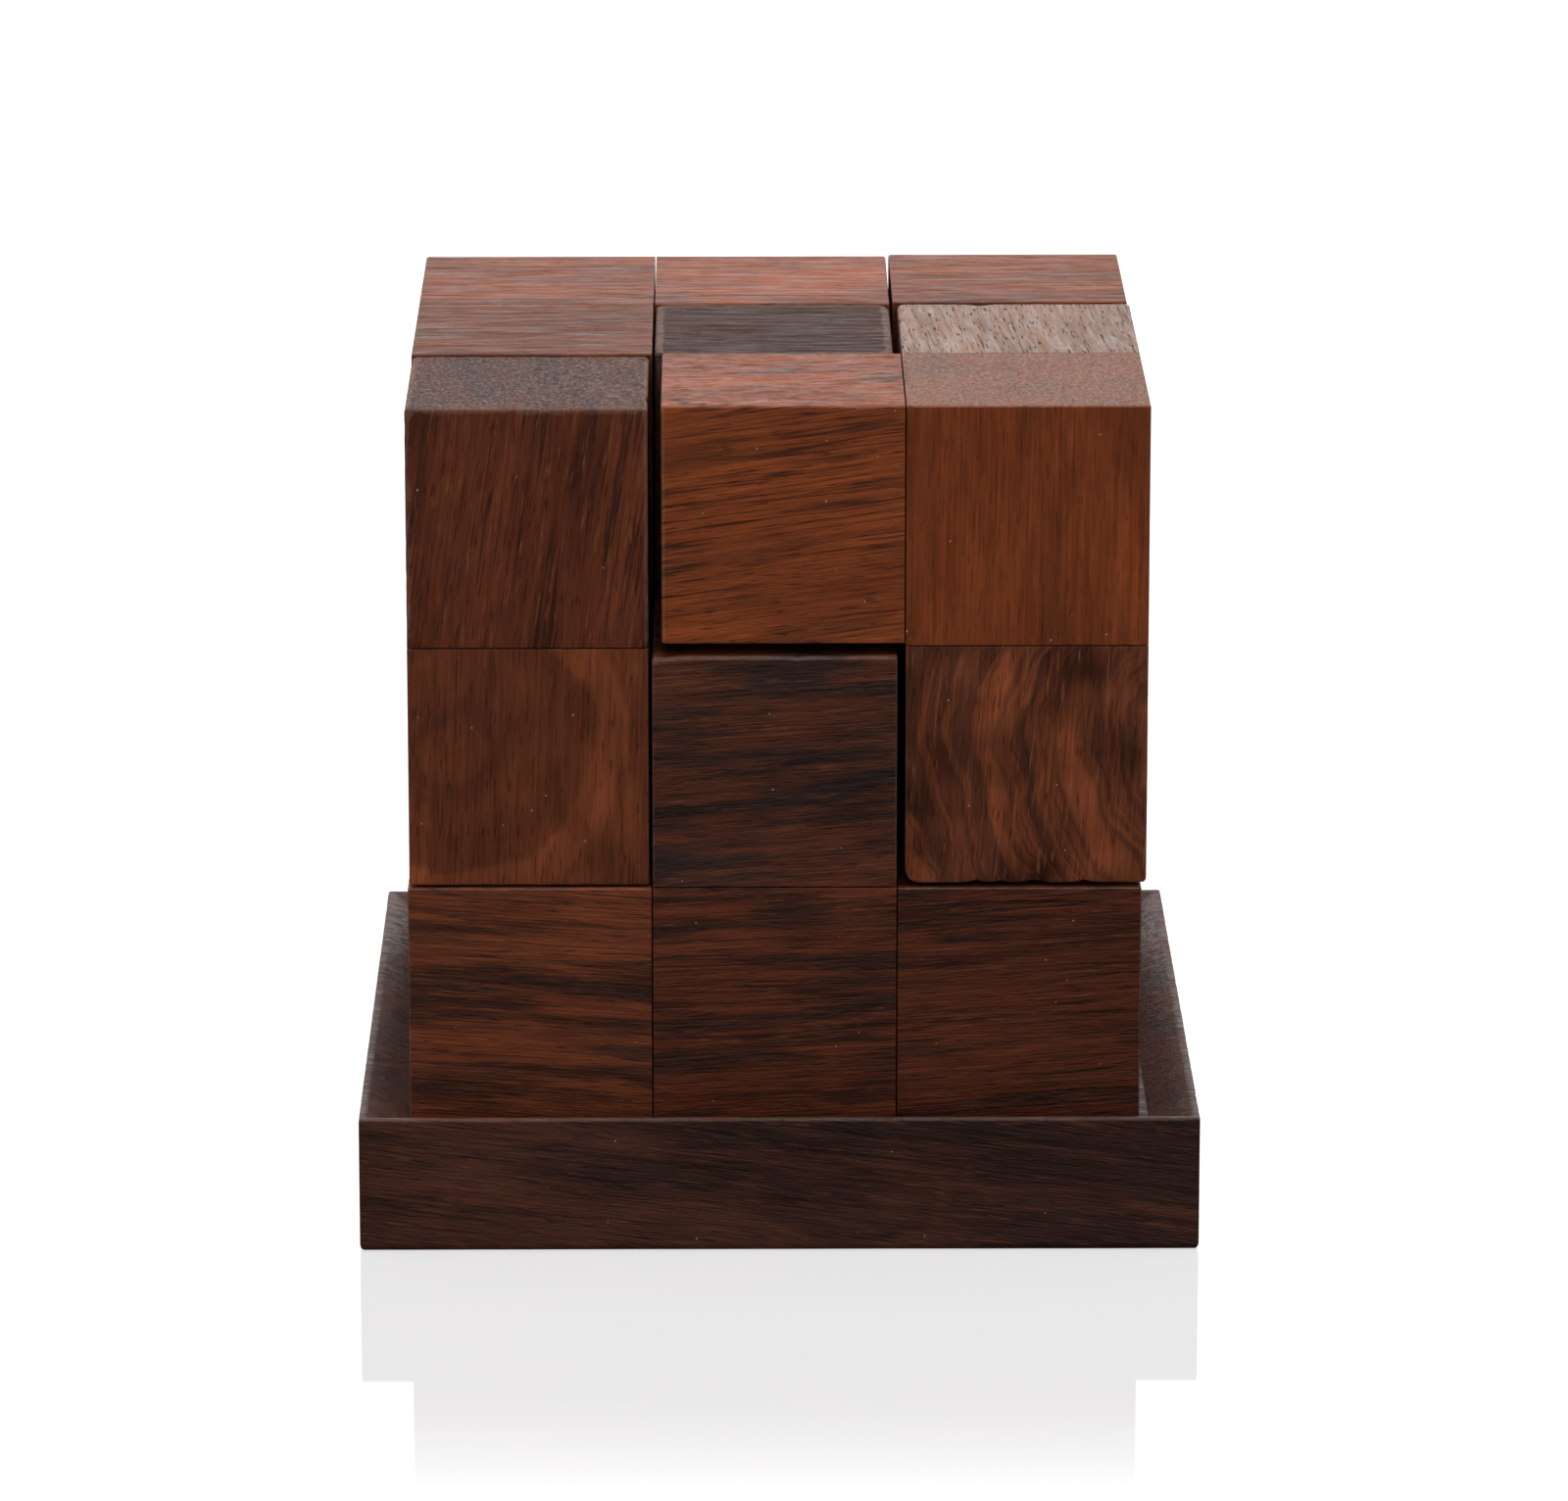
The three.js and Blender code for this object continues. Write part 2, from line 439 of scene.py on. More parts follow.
def make_tray(node, settings):
    """The tray: a board with a land round its worn rim and slopes down to the recess."""
    low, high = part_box(node)

    def radius_of(sides, ends):
        if "bottom" in sides:
            return settings.foot_chamfer
        on_rim = min(end.z for end in ends) > high.z - RIM_SLACK
        return settings.rim_round if on_rim or len(sides) == 2 else settings.crease

    def is_worn(vertex):
        return vertex.co.z > high.z - settings.rim_round

    tray = add_cuboid("board_" + node, low, high)
    bpy.context.tool_settings.mesh_select_mode = (False, False, True)
    for face in tray.data.polygons:
        face.select = face.normal.z > UPWARD
    bpy.ops.object.mode_set(mode="EDIT")
    bpy.ops.mesh.inset(thickness=settings.rim_land)
    bpy.ops.mesh.inset(thickness=settings.slope_width, depth=-settings.recess_depth)
    bpy.ops.object.mode_set(mode="OBJECT")
    round_edges(tray, low, high, radius_of, settings.edge_segments)
    cut_grid(tray, settings.cuts, settings.longest_left)
    mark_edge_wear(tray, is_worn)
    wear_down(tray, bpy.context.scene.puzzle.blocks)
    finish_surface(tray)
    return tray


# ---------------- wood

MM_PER_METRE = 1000.0
BOARD_STEP = 137.0  # millimetres along the board from one block's wood to the next one's

# The wood's textures: how many features a millimetre holds along the grain and across it both
# ways, then detail and roughness.
TEXTURES = {
    "drift": ((0.02, 0.06, 0.06), 2.0, 0.5),
    "flutter": ((0.12, 0.35, 0.35), 1.0, 0.5),
    "stripes": ((1.0, 1.0, 1.0), 3.0, 0.68),
    "lines": ((0.03, 1.0, 0.12), 2.0, 0.55),
    "bundles": ((0.07, 0.3, 0.08), 1.0, 0.5),
    "fibres": ((0.07, 3.4, 3.4), 2.0, 0.6),
    "strokes": ((0.16, 0.75, 0.75), 4.0, 0.78),
    "short_pores": ((0.42, 4.6, 4.6), 0.0, 0.5),
    "long_pores": ((0.07, 3.4, 3.4), 1.0, 0.5),
    "flecks": ((0.3, 3.4, 3.4), 1.0, 0.5),
    "gloss": ((0.11, 1.2, 2.6), 3.0, 0.7),
    "patches": ((0.035, 0.13, 0.13), 1.0, 0.5),
    "rubbing": ((0.9, 0.9, 0.9), 3.0, 0.6),
}
# Textures moved to another place in the wood, so that they don't fall on each other: how far, in mm.
ELSEWHERE = {
    "long_pores": (71.0, 29.0, 11.0), "flecks": (31.0, 17.0, 53.0), "gloss": (11.0, 83.0, 41.0),
}
# The value at which each of these begins to show, and the one at which it shows in full.
SHOWS = {
    "bundles": (0.36, 0.6), "short_pores": (0.67, 0.75), "long_pores": (0.62, 0.76),
    "flecks": (0.62, 0.76), "rubbing": (0.55, 1.05), "end_dust_and_sheen": (0.2, 0.8),
    "end_grain": (0.75, 0.97),
}
MIDDLE = 0.5  # of every texture's values
MIDDLE_COLOUR = (MIDDLE, MIDDLE, MIDDLE)
FLUTTER = 0.12  # of the fine wandering beside the broad one
STRIPES_ALONG = 0.035  # stripes in a millimetre, along the grain
STRIPES_ACROSS = 0.03  # the same, level with the pith
STRIPE_SOFTNESS = (-0.09, 0.11)  # from full dark to full light, about the share of dark wood
LINE_HALF_WIDTH = 0.05
GLOW_EDGE = (0.6, 1.2)  # of the glow's width: where the ring begins to fade, and where it is gone
GLOW_TONE = 1.7
LINE_TONE = 0.8
PORE_TONE = 0.2
LONG_PORES = 0.5  # how dark long pores are beside short ones
FIBRE_CONTRAST = 1.1
PATCH_CONTRAST = 3.0
ROUGHNESS = 0.44
GLOSS_CONTRAST = 1.1
PORE_ROUGHNESS = 0.3
END_ROUGHNESS = 0.06
SMOOTHEST, ROUGHEST = 0.22, 0.85
FIBRE_HEIGHT = 0.4
PORE_HEIGHT = -0.3
RUBBED_CONTRAST = 1.3
RUBBED_TONE = 1.8
RUBBED_BARE = 0.5  # how much of a rubbed spot is bare wood
SPECK_COVER = 0.6
WOOD_IOR = 1.25

BOARD_SOCKETS = ("Tone", "Spacing", "Share", "Stripes", "Lines", "Wander", "Flecks", "Pores",
                 "Patches", "Glow", "Glow radius", "Glow width", "End tone", "End dust and sheen")
GRAIN_SOCKETS = {
    "NodeSocketVector": ("Fibre", "Figure", "Pith"),
    "NodeSocketColor": ("Light", "Dark"),
    "NodeSocketFloat": ("End grain", *BOARD_SOCKETS),
}
GRAIN_RESULTS = {
    "NodeSocketColor": ("Colour",),
    "NodeSocketFloat": ("Roughness", "Height"),
}


def feed(tree, value, socket):
    """Links a socket to another, or gives it a plain value."""
    if isinstance(value, bpy.types.NodeSocket):
        tree.links.new(value, socket)
    else:
        socket.default_value = value


def calc(tree, operation, *values):
    """One step of arithmetic on numbers."""
    node = tree.nodes.new("ShaderNodeMath")
    node.operation = operation
    for value, socket in zip(values, node.inputs):
        feed(tree, value, socket)
    return node.outputs[0]


def vector_calc(tree, operation, *values):
    """One step of arithmetic on vectors."""
    node = tree.nodes.new("ShaderNodeVectorMath")
    node.operation = operation
    for value, socket in zip(values, node.inputs):
        feed(tree, value, socket)
    return node.outputs["Value" if operation in ("LENGTH", "DOT_PRODUCT") else "Vector"]


def times(tree, vector, amount):
    """A vector made longer or shorter by one number."""
    node = tree.nodes.new("ShaderNodeVectorMath")
    node.operation = "SCALE"
    feed(tree, vector, node.inputs[0])
    feed(tree, amount, node.inputs["Scale"])
    return node.outputs["Vector"]


def ramp(tree, value, start, end, low=0.0, high=1.0):
    """Turns a span of values into a soft step from low to high."""
    node = tree.nodes.new("ShaderNodeMapRange")
    node.interpolation_type = "SMOOTHSTEP"
    for name, setting in zip(("Value", "From Min", "From Max", "To Min", "To Max"),
                             (value, start, end, low, high)):
        feed(tree, setting, node.inputs[name])
    return node.outputs["Result"]


def blend(tree, share, first, second):
    """The first colour, with its share of the second laid over it."""
    node = tree.nodes.new("ShaderNodeMix")
    node.data_type = "RGBA"
    feed(tree, share, node.inputs[0])
    feed(tree, first, node.inputs[6])
    feed(tree, second, node.inputs[7])
    return node.outputs[2]


def texture(tree, place, kind, output="Fac"):
    """One of the wood's textures, drawn out along the grain."""
    stretch, detail, roughness = TEXTURES[kind]
    if kind in ELSEWHERE:
        place = vector_calc(tree, "ADD", place, ELSEWHERE[kind])
    node = tree.nodes.new("ShaderNodeTexNoise")
    feed(tree, vector_calc(tree, "MULTIPLY", place, stretch), node.inputs["Vector"])
    node.inputs["Scale"].default_value = 1.0
    node.inputs["Detail"].default_value = detail
    node.inputs["Roughness"].default_value = roughness
    return node.outputs[output]


def marks(tree, place, kind):
    """Where the marks of a texture show: 0 to 1."""
    return ramp(tree, texture(tree, place, kind), *SHOWS[kind])


def swing(tree, value, contrast, base):
    """Adds a texture's way up or down from its middle to a base value."""
    return calc(tree, "MULTIPLY_ADD", calc(tree, "SUBTRACT", value, MIDDLE), contrast, base)


def add_sockets(tree, way, sockets):
    """Gives a node group its sockets, kind by kind."""
    for kind, names in sockets.items():
        for name in names:
            tree.interface.new_socket(name, in_out=way, socket_type=kind)


def grain_group():
    """Rosewood grain, in millimetres: stripes round a pith, fibres, pores and flecks along X."""
    tree = bpy.data.node_groups.new("rosewood_grain", "ShaderNodeTree")
    add_sockets(tree, "INPUT", GRAIN_SOCKETS)
    add_sockets(tree, "OUTPUT", GRAIN_RESULTS)
    given = tree.nodes.new("NodeGroupInput").outputs
    result = tree.nodes.new("NodeGroupOutput").inputs
    fibres = texture(tree, given["Fibre"], "fibres")
    strokes = texture(tree, given["Fibre"], "strokes")
    pores = pore_share(tree, given)
    feed(tree, grain_colour(tree, given, fibres, strokes, pores), result["Colour"])
    feed(tree, grain_roughness(tree, given, pores), result["Roughness"])
    height = calc(tree, "MULTIPLY_ADD", fibres, FIBRE_HEIGHT, strokes)
    feed(tree, calc(tree, "MULTIPLY_ADD", pores, PORE_HEIGHT, height), result["Height"])


def grain_colour(tree, given, fibres, strokes, pores):
    """The colour of the wood, from the broad stripes down to the pores."""
    place = wandering_place(tree, given)
    rings, out = ring_place(tree, place, given)
    colour = blend(tree, stripe_share(tree, rings, given), given["Light"], given["Dark"])
    bright = times(tree, given["Light"], GLOW_TONE)
    colour = blend(tree, glow_share(tree, out, given), colour, bright)
    dark_line = times(tree, given["Dark"], LINE_TONE)
    colour = blend(tree, line_share(tree, rings, given), colour, dark_line)
    colour = times(tree, colour, brightness(tree, place, fibres, strokes, given))
    flecks = calc(tree, "MULTIPLY", marks(tree, given["Fibre"], "flecks"), given["Flecks"])
    colour = blend(tree, flecks, colour, FLECK)
    # pale grey laid on the end grain: partly sanding dust caught in it, partly painted sheen
    dust_and_sheen = calc(tree, "MULTIPLY", given["End grain"], given["End dust and sheen"])
    dust_and_sheen = calc(tree, "MULTIPLY", dust_and_sheen, ramp(tree, fibres, *SHOWS["end_dust_and_sheen"]))
    colour = blend(tree, dust_and_sheen, colour, END_DUST_AND_SHEEN)
    return blend(tree, pores, colour, times(tree, colour, PORE_TONE))


def grain_roughness(tree, given, pores):
    """Streaks where the polish took better or worse, rougher in the pores and on the end grain."""
    streaks = texture(tree, given["Fibre"], "gloss")
    rough = swing(tree, streaks, GLOSS_CONTRAST, ROUGHNESS)
    rough = calc(tree, "MULTIPLY_ADD", pores, PORE_ROUGHNESS, rough)
    rough = calc(tree, "MULTIPLY_ADD", given["End grain"], END_ROUGHNESS, rough)
    return calc(tree, "MINIMUM", calc(tree, "MAXIMUM", rough, SMOOTHEST), ROUGHEST)


def wandering_place(tree, given):
    """The figure's own coordinates, pushed about so that no line runs dead straight."""
    drift = texture(tree, given["Figure"], "drift", "Color")
    drift = vector_calc(tree, "SUBTRACT", drift, MIDDLE_COLOUR)
    flutter = texture(tree, given["Figure"], "flutter", "Color")
    flutter = vector_calc(tree, "SUBTRACT", flutter, MIDDLE_COLOUR)
    drift = vector_calc(tree, "ADD", drift, times(tree, flutter, FLUTTER))
    return vector_calc(tree, "ADD", given["Figure"], times(tree, drift, given["Wander"]))


def ring_place(tree, place, given):
    """Along the grain, out from the pith and across, as one vector, and the way out by itself."""
    from_pith = vector_calc(tree, "SUBTRACT", place, given["Pith"])
    out = vector_calc(tree, "LENGTH", vector_calc(tree, "MULTIPLY", from_pith, (0.0, 1.0, 1.0)))
    split = tree.nodes.new("ShaderNodeSeparateXYZ")
    feed(tree, from_pith, split.inputs[0])
    join = tree.nodes.new("ShaderNodeCombineXYZ")
    feed(tree, split.outputs[0], join.inputs[0])
    feed(tree, out, join.inputs[1])
    feed(tree, split.outputs[1], join.inputs[2])
    return join.outputs[0], out


def stripe_share(tree, rings, given):
    """Broad dark stripes, one spacing apart."""
    scale = tree.nodes.new("ShaderNodeCombineXYZ")
    scale.inputs[0].default_value = STRIPES_ALONG
    feed(tree, calc(tree, "DIVIDE", 1.0, given["Spacing"]), scale.inputs[1])
    scale.inputs[2].default_value = STRIPES_ACROSS
    figure = texture(tree, vector_calc(tree, "MULTIPLY", rings, scale.outputs[0]), "stripes")
    start, end = (calc(tree, "ADD", given["Share"], step) for step in STRIPE_SOFTNESS)
    dark = ramp(tree, figure, start, end, 1.0, 0.0)
    return calc(tree, "MULTIPLY", dark, given["Stripes"])


def line_share(tree, rings, given):
    """Thin dark lines that come in bundles."""
    off = calc(tree, "ABSOLUTE", calc(tree, "SUBTRACT", texture(tree, rings, "lines"), MIDDLE))
    ridge = ramp(tree, off, 0.0, LINE_HALF_WIDTH, 1.0, 0.0)
    both = calc(tree, "MULTIPLY", ridge, marks(tree, rings, "bundles"))
    return calc(tree, "MULTIPLY", both, given["Lines"])


def pore_share(tree, given):
    """Open pores: short and long dark strokes along the grain, dots on the end grain."""
    short = marks(tree, given["Fibre"], "short_pores")
    long = calc(tree, "MULTIPLY", marks(tree, given["Fibre"], "long_pores"), LONG_PORES)
    return calc(tree, "MULTIPLY", calc(tree, "MAXIMUM", short, long), given["Pores"])


def glow_share(tree, out, given):
    """One bright ring round the pith, for a block cut close to it."""
    off = calc(tree, "ABSOLUTE", calc(tree, "SUBTRACT", out, given["Glow radius"]))
    ring = ramp(tree, calc(tree, "DIVIDE", off, given["Glow width"]), *GLOW_EDGE, 1.0, 0.0)
    return calc(tree, "MULTIPLY", ring, given["Glow"])


def brightness(tree, place, fibres, strokes, given):
    """How light each spot is: fibre by fibre, in cloudy patches, and on the end grain."""
    light = swing(tree, fibres, FIBRE_CONTRAST, 1.0)
    light = swing(tree, strokes, FIBRE_CONTRAST, light)
    cloudy = calc(tree, "SUBTRACT", texture(tree, place, "patches"), MIDDLE)
    cloudy = calc(tree, "MULTIPLY", cloudy, given["Patches"])
    light = calc(tree, "MULTIPLY", light, calc(tree, "MULTIPLY_ADD", cloudy, PATCH_CONTRAST, 1.0))
    end = calc(tree, "SUBTRACT", given["End tone"], 1.0)
    end = calc(tree, "MULTIPLY_ADD", end, given["End grain"], 1.0)
    return calc(tree, "MULTIPLY", calc(tree, "MULTIPLY", light, end), given["Tone"])


def grain_turn(tilt, turn):
    """The turn that brings a board's grain onto X."""
    level = Matrix.Rotation(-math.radians(turn), 3, "Z")
    lift = Matrix.Rotation(math.radians(tilt), 3, "Y")
    return lift @ level


def grain_mapping(tree, place, node, turn, number):
    """Object coordinates in metres to grain coordinates in millimetres, centred on the piece."""
    low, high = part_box(node)
    mapping = tree.nodes.new("ShaderNodeMapping")
    mapping.vector_type = "POINT"
    mapping.inputs["Scale"].default_value = (MM_PER_METRE, MM_PER_METRE, MM_PER_METRE)
    mapping.inputs["Rotation"].default_value = turn.to_euler("XYZ")
    own_part_of_the_board = Vector((BOARD_STEP, 0.0, 0.0)) * number
    mapping.inputs["Location"].default_value = (
        turn @ (-MM_PER_METRE * (low + high) / 2) + own_part_of_the_board
    )
    feed(tree, place, mapping.inputs["Vector"])
    return mapping.outputs["Vector"]


def end_grain_share(tree, normal, turn):
    """1 where a face is cut across the grain."""
    along = turn.inverted() @ Vector((1.0, 0.0, 0.0))
    facing = calc(tree, "ABSOLUTE", vector_calc(tree, "DOT_PRODUCT", normal, along))
    return ramp(tree, facing, *SHOWS["end_grain"])


def wood_grain(tree, node, number, coordinates):
    """The grain of one block or of the tray, set as its board says."""
    woods = bpy.context.scene.puzzle.woods
    board = board_of(node)
    place = coordinates["Object"]
    fibre_turn = grain_turn(board["tilt"], board["turn"])
    figure_turn = grain_turn(*board["figure"]) if "figure" in board else fibre_turn
    grain = tree.nodes.new("ShaderNodeGroup")
    grain.node_tree = bpy.data.node_groups["rosewood_grain"]
    given = grain.inputs
    feed(tree, grain_mapping(tree, place, node, fibre_turn, number), given["Fibre"])
    feed(tree, grain_mapping(tree, place, node, figure_turn, number), given["Figure"])
    end_grain = end_grain_share(tree, coordinates["Normal"], fibre_turn)
    feed(tree, end_grain, given["End grain"])
    given["Pith"].default_value = (0.0, *board["pith"])
    given["Light"].default_value = (*getattr(woods, board["wood"] + "_light"), 1.0)
    given["Dark"].default_value = (*getattr(woods, board["wood"] + "_dark"), 1.0)
    for name in BOARD_SOCKETS:
        given[name].default_value = board[name.lower().replace(" ", "_")]
    return grain.outputs


def wood_material(node, number):
    """The finish of one block or of the tray."""
    woods = bpy.context.scene.puzzle.woods
    board = board_of(node)
    material = bpy.data.materials.new("wood_" + node)
    material.use_nodes = True
    tree = material.node_tree
    shader = tree.nodes["Principled BSDF"]
    coordinates = tree.nodes.new("ShaderNodeTexCoord").outputs
    grain = wood_grain(tree, node, number, coordinates)
    wear = woods.edge_wear * board["wear"]
    colour = worn_colour(tree, coordinates["Object"], grain["Colour"], woods.rubbed, wear)
    colour = dusty_colour(tree, coordinates["Object"], colour, woods)
    feed(tree, colour, shader.inputs["Base Color"])
    feed(tree, grain["Roughness"], shader.inputs["Roughness"])
    shader.inputs["IOR"].default_value = WOOD_IOR
    shader.inputs["Specular IOR Level"].default_value = board["gloss"]
    bump = tree.nodes.new("ShaderNodeBump")
    bump.inputs["Strength"].default_value = 1.0
    bump.inputs["Distance"].default_value = woods.relief
    feed(tree, grain["Height"], bump.inputs["Height"])
    feed(tree, bump.outputs["Normal"], shader.inputs["Normal"])
    return material


def worn_colour(tree, place, colour, bare, wear):
    """Open edges rubbed pale, in ragged patches."""
    worn = tree.nodes.new("ShaderNodeAttribute")
    worn.attribute_name = EDGE_WEAR
    ragged = texture(tree, times(tree, place, MM_PER_METRE), "rubbing")
    amount = swing(tree, ragged, RUBBED_CONTRAST, worn.outputs["Fac"])
    amount = calc(tree, "MULTIPLY", ramp(tree, amount, *SHOWS["rubbing"]), wear)
    rubbed = blend(tree, RUBBED_BARE, times(tree, colour, RUBBED_TONE), (*bare, 1.0))
    return blend(tree, amount, colour, rubbed)


def dusty_colour(tree, place, colour, woods):
    """A few pale specks of sanding dust caught in the surface."""
    specks = tree.nodes.new("ShaderNodeTexVoronoi")
    specks.inputs["Scale"].default_value = MM_PER_METRE / woods.speck_spacing
    feed(tree, place, specks.inputs["Vector"])
    own_size = calc(tree, "MULTIPLY", specks.outputs["Color"], woods.speck_size)
    amount = calc(tree, "LESS_THAN", specks.outputs["Distance"], own_size)
    return blend(tree, calc(tree, "MULTIPLY", amount, SPECK_COVER), colour, (*woods.speck, 1.0))


# ---------------- stage

PUZZLE_MIDDLE = (0.0, 0.0, 0.045)
SOFTBOX_HEIGHT = 0.8
SHEEN_HORIZON = (-0.02, 0.06)  # rise of a ray over which the sheen comes up
LIGHT_HORIZON = (-0.02, 0.02)  # the same, from light off the ground to light from the room
MIRROR_ROUGHNESS = 0.03
SENSOR_WIDTH = 36.0
CLIP = (0.01, 10.0)

def make_floor(stage):
    """A floor that casts no light or shadow on what stands on it."""
    pick_nothing()
    bpy.ops.mesh.primitive_plane_add(size=2 * stage.floor_reach, location=(0.0, 0.0, 0.0))
    floor = bpy.context.object
    floor.name = "floor"
    floor.data.materials.append(floor_material(stage))
    floor.visible_diffuse = False
    floor.visible_glossy = False
    floor.visible_shadow = False


def floor_material(stage):
    """Bright white acrylic that mirrors what stands on it, less and less with distance."""
    material = bpy.data.materials.new("white_acrylic")
    material.use_nodes = True
    tree = material.node_tree
    tree.nodes.clear()
    output = tree.nodes.new("ShaderNodeOutputMaterial")
    place = tree.nodes.new("ShaderNodeTexCoord").outputs["Object"]
    split = tree.nodes.new("ShaderNodeSeparateXYZ")
    feed(tree, place, split.inputs[0])
    reach = calc(tree, "MAXIMUM", calc(tree, "ABSOLUTE", split.outputs[0]),
                 calc(tree, "ABSOLUTE", split.outputs[1]))
    mirror_share = ramp(tree, reach, stage.mirror_full, stage.mirror_gone, stage.mirror, 0.0)
    glow = tree.nodes.new("ShaderNodeEmission")
    glow.inputs["Strength"].default_value = stage.floor_glow
    matt = tree.nodes.new("ShaderNodeBsdfDiffuse")
    matt.inputs["Color"].default_value = (*stage.floor_colour, 1.0)
    body = tree.nodes.new("ShaderNodeAddShader")
    feed(tree, glow.outputs[0], body.inputs[0])
    feed(tree, matt.outputs[0], body.inputs[1])
    gloss = tree.nodes.new("ShaderNodeBsdfGlossy")
    gloss.inputs["Roughness"].default_value = MIRROR_ROUGHNESS
    mix = tree.nodes.new("ShaderNodeMixShader")
    feed(tree, mirror_share, mix.inputs[0])
    feed(tree, body.outputs[0], mix.inputs[1])
    feed(tree, gloss.outputs[0], mix.inputs[2])
    feed(tree, mix.outputs[0], output.inputs[0])
    return material


def make_world(stage):
    """White to the eye, with a bright sheen from above the horizon and soft light from all round."""
    world = bpy.data.worlds.new("studio")
    bpy.context.scene.world = world
    world.use_nodes = True
    tree = world.node_tree
    tree.nodes.clear()
    output = tree.nodes.new("ShaderNodeOutputWorld")
    way = tree.nodes.new("ShaderNodeTexCoord").outputs["Generated"]
    split = tree.nodes.new("ShaderNodeSeparateXYZ")
    feed(tree, way, split.inputs[0])
    rays = tree.nodes.new("ShaderNodeLightPath").outputs
    height = split.outputs[2]
    sheen = ramp(tree, height, *SHEEN_HORIZON, 0.0, stage.sheen_light)
    sheen = calc(tree, "MULTIPLY", rays["Is Glossy Ray"], sheen)
    soft = ramp(tree, height, *LIGHT_HORIZON, stage.bounce_light, stage.room_light)
    soft = calc(tree, "MULTIPLY", calc(tree, "SUBTRACT", 1.0, rays["Is Glossy Ray"]), soft)
    light = calc(tree, "ADD", sheen, soft)
    seen = calc(tree, "MAXIMUM", light, rays["Is Camera Ray"])
    background = tree.nodes.new("ShaderNodeBackground")
    feed(tree, seen, background.inputs["Strength"])
    feed(tree, background.outputs[0], output.inputs[0])


def add_light(name, place, width, power, glossy=False):
    """A softbox aimed at the middle of the puzzle. Only a glossy one shows in the wood's sheen."""
    light = bpy.data.lights.new(name, "AREA")
    light.shape = "RECTANGLE"
    light.size = width
    light.size_y = SOFTBOX_HEIGHT
    light.energy = power
    lamp = bpy.data.objects.new(name, light)
    bpy.context.scene.collection.objects.link(lamp)
    lamp.location = place
    aim = Vector(PUZZLE_MIDDLE) - Vector(place)
    lamp.rotation_euler = aim.to_track_quat("-Z", "Y").to_euler()
    lamp.visible_camera = False
    lamp.visible_glossy = glossy


def make_lights(stage):
    """One softbox overhead, a wide one in front, and one each at the left, the right and the back."""
    add_light("overhead_softbox", (0.0, -0.15, 0.95), 0.8, stage.overhead_power, glossy=True)
    add_light("front_softbox", (0.0, -1.35, 0.45), 1.0, stage.front_power)
    for name, place in (("left_softbox", (-1.35, 0.1, 0.45)), ("right_softbox", (1.35, 0.1, 0.45)),
                        ("back_softbox", (0.0, 1.35, 0.45))):
        add_light(name, place, 0.8, stage.side_power)


def make_camera(stage):
    """The camera, at the stage's place, turned and pitched as the stage says."""
    data = bpy.data.cameras.new("camera")
    data.lens = stage.lens
    data.sensor_width = SENSOR_WIDTH
    data.clip_start, data.clip_end = CLIP
    camera = bpy.data.objects.new("camera", data)
    bpy.context.scene.collection.objects.link(camera)
    camera.location = stage.eye
    camera.rotation_euler = Euler((math.pi / 2 - stage.look_down, 0.0, -stage.look_right))
    bpy.context.scene.camera = camera


# ---------------- add-on


def length_property(name, description, default):
    """A length in metres."""
    return FloatProperty(name=name, description=description, default=default, unit="LENGTH",
                         precision=6)


def count_property(name, description, default, least):
    """A whole number."""
    return IntProperty(name=name, description=description, default=default, min=least)


def number_property(name, description, default):
    """A plain number."""
    return FloatProperty(name=name, description=description, default=default)


def colour_property(name, description, default):
    """A colour."""
    return FloatVectorProperty(
        name=name, description=description, default=default, subtype="COLOR", size=3, min=0.0, max=1.0
    )


class PuzzleWoods(bpy.types.PropertyGroup):
    """Colours and grain of the rosewood"""
    golden_light: colour_property(
        "Golden heart", "Light wood of the golden blocks", (0.255, 0.056, 0.014)
    )
    golden_dark: colour_property(
        "Golden stripe", "Dark stripes of the golden blocks", (0.068, 0.019, 0.008)
    )
    brown_light: colour_property(
        "Brown wood", "Body of the duller golden blocks", (0.25, 0.062, 0.0225)
    )
    brown_dark: colour_property(
        "Brown stripe", "Dark stripes of the duller golden blocks", (0.062, 0.022, 0.013)
    )
    red_light: colour_property("Red heart", "Light wood of the red blocks", (0.175, 0.041, 0.016))
    red_dark: colour_property("Red stripe", "Dark stripes of the red blocks", (0.038, 0.015, 0.010))
    dark_light: colour_property("Dark heart", "Light wood of the dark blocks", (0.110, 0.030, 0.014))
    dark_dark: colour_property("Dark stripe", "Dark stripes of the dark blocks", (0.024, 0.014, 0.012))
    pale_light: colour_property("Pale heart", "Light wood of the pale block", (0.30, 0.17, 0.12))
    pale_dark: colour_property("Pale stripe", "Dark stripes of the pale block", (0.20, 0.10, 0.075))
    tray_light: colour_property("Tray heart", "Light wood of the tray", (0.078, 0.025, 0.015))
    tray_dark: colour_property("Tray stripe", "Dark stripes of the tray", (0.020, 0.010, 0.008))
    rubbed: colour_property("Rubbed wood", "Bare wood on worn edges", (0.30, 0.20, 0.16))
    speck: colour_property("Dust", "Specks caught in the surface", (0.55, 0.48, 0.42))
    edge_wear: FloatProperty(
        name="Edge wear", description="How much of the open edges is rubbed pale", default=0.35,
        min=0.0, max=1.0, subtype="FACTOR")
    relief: length_property("Relief", "Depth of pores and fibres", 0.18 * MM)
    speck_spacing: number_property("Speck spacing", "Millimetres from one dust speck to the next", 2.6)
    speck_size: number_property(
        "Speck size", "Radius of the largest speck as a share of the spacing", 0.06
    )


